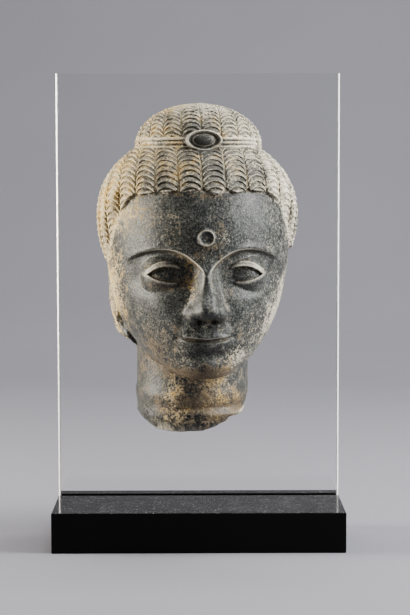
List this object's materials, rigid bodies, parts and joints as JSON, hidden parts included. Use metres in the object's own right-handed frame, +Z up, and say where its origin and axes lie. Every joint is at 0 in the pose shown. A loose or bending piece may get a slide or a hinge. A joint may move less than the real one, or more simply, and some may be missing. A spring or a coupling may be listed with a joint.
{
  "type": "head sculpture",
  "caption": "Carved grey schist head with arched locks and a topknot, broken at the neck, in front of a clear acrylic panel on a black acrylic block.",
  "frame": {"origin": "middle of the block's underside, on the surface that it stands on", "axes": "+Z up; the face looks along -Y, turned 4.5 degrees towards +X; +X runs along the block, to the viewer's right"},
  "size_m": [0.2, 0.141, 0.3265],
  "materials": {
    "stone": "carved dark blue-grey schist, worn smooth on the face, with pale ochre earth in the carving",
    "clear_acrylic": "clear cast acrylic with polished edges",
    "black_acrylic": "polished black acrylic block"
  },
  "bodies": {
    "root": {"head": "stone", "panel": "clear_acrylic", "base": "black_acrylic"}
  },
  "joints": []
}
